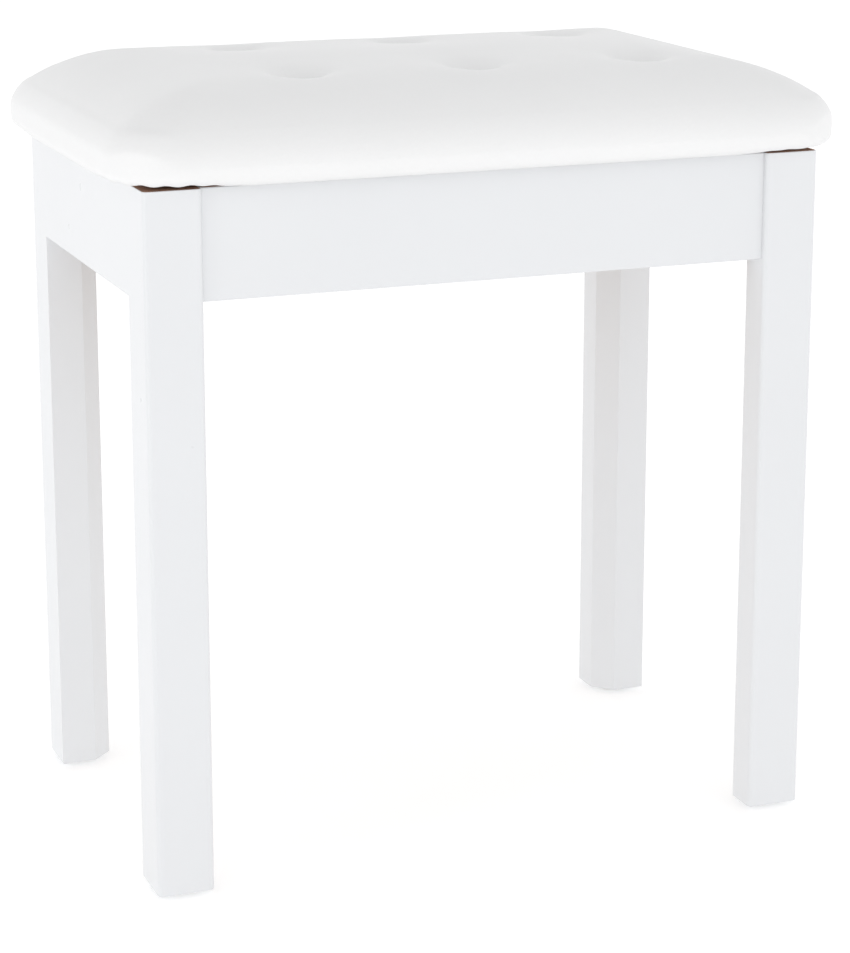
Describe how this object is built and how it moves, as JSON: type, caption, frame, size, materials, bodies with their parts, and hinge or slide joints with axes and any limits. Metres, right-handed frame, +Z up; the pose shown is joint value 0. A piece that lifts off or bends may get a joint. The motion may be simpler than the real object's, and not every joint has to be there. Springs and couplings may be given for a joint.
{
  "type": "piano bench",
  "caption": "Small piano bench with a tufted, padded seat that hinges up over a sheet-music compartment, held by folding stays.",
  "frame": {"origin": "on the floor, at the centre of the footprint", "axes": "+X to the sitter's right, +Y to the hinged back, +Z up"},
  "size_m": [0.478, 0.312, 0.4995],
  "materials": {
    "lacquer": "satin cool-white lacquer on wood",
    "raw_wood": "unfinished",
    "hardboard": "smooth hardboard",
    "leatherette": "satin white leatherette, fine grain",
    "foam": "open-cell foam",
    "lining": "black non-woven cloth",
    "nickel": "nickel plated",
    "zinc": "zinc plated",
    "glide_plastic": "moulded",
    "bumper_rubber": "matt"
  },
  "bodies": {
    "frame": {"front_left_leg": "lacquer", "front_left_glide": "glide_plastic", "front_left_corner_block": "raw_wood", "front_left_lower_bolt": "zinc", "front_left_upper_bolt": "zinc", "front_right_leg": "lacquer", "front_right_glide": "glide_plastic", "front_right_corner_block": "raw_wood", "front_right_lower_bolt": "zinc", "front_right_upper_bolt": "zinc", "rear_left_leg": "lacquer", "rear_left_glide": "glide_plastic", "rear_left_corner_block": "raw_wood", "rear_left_lower_bolt": "zinc", "rear_left_upper_bolt": "zinc", "rear_right_leg": "lacquer", "rear_right_glide": "glide_plastic", "rear_right_corner_block": "raw_wood", "rear_right_lower_bolt": "zinc", "rear_right_upper_bolt": "zinc", "front_apron": "lacquer", "back_apron": "lacquer", "left_apron": "lacquer", "right_apron": "lacquer", "compartment_floor": "hardboard", "left_lid_bumper": "bumper_rubber", "right_lid_bumper": "bumper_rubber", "left_hinge_fixed_leaf": "nickel", "left_hinge_pin": "nickel", "left_hinge_apron_screw_1": "nickel", "left_hinge_apron_screw_2": "nickel", "left_stay_frame_bracket": "zinc", "right_hinge_fixed_leaf": "nickel", "right_hinge_pin": "nickel", "right_hinge_apron_screw_1": "nickel", "right_hinge_apron_screw_2": "nickel", "right_stay_frame_bracket": "zinc"},
    "lid": {"lid_board": "raw_wood", "seat_foam": "foam", "seat_cover": "leatherette", "underside_lining": "lining", "tuft_button_1": "leatherette", "tuft_button_2": "leatherette", "tuft_button_3": "leatherette", "tuft_button_4": "leatherette", "tuft_button_5": "leatherette", "tuft_button_6": "leatherette", "left_hinge_moving_leaf": "nickel", "left_hinge_lid_screw_1": "nickel", "left_hinge_lid_screw_2": "nickel", "left_stay_lid_bracket": "zinc", "right_hinge_moving_leaf": "nickel", "right_hinge_lid_screw_1": "nickel", "right_hinge_lid_screw_2": "nickel", "right_stay_lid_bracket": "zinc"},
    "left_stay_lower": {"left_stay_lower_arm": "zinc"},
    "left_stay_upper": {"left_stay_upper_arm": "zinc"},
    "right_stay_lower": {"right_stay_lower_arm": "zinc"},
    "right_stay_upper": {"right_stay_upper_arm": "zinc"}
  },
  "joints": [
    {"name": "lid_hinge", "type": "hinge", "parent": "frame", "child": "lid", "pos_m": [0, 0.13685, 0.43965], "axis": [-1, 0, 0], "range_deg": [0, 90]},
    {"name": "left_stay_foot", "type": "hinge", "parent": "frame", "child": "left_stay_lower", "pos_m": [-0.2022, 0.0612, 0.398], "axis": [-1, 0, 0], "range_deg": [0, 90]},
    {"name": "left_stay_elbow", "type": "hinge", "parent": "left_stay_lower", "child": "left_stay_upper", "pos_m": [-0.1999, -0.0512, 0.39], "axis": [-1, 0, 0], "range_deg": [-90, 0]},
    {"name": "right_stay_foot", "type": "hinge", "parent": "frame", "child": "right_stay_lower", "pos_m": [0.2022, 0.0612, 0.398], "axis": [-1, 0, 0], "range_deg": [0, 90]},
    {"name": "right_stay_elbow", "type": "hinge", "parent": "right_stay_lower", "child": "right_stay_upper", "pos_m": [0.1999, -0.0512, 0.39], "axis": [-1, 0, 0], "range_deg": [-90, 0]}
  ],
  "couplings": [
    {"joint": "left_stay_foot", "follows": "lid_hinge", "ratio": 1},
    {"joint": "left_stay_elbow", "follows": "lid_hinge", "ratio": -1},
    {"joint": "right_stay_foot", "follows": "lid_hinge", "ratio": 1},
    {"joint": "right_stay_elbow", "follows": "lid_hinge", "ratio": -1}
  ]
}
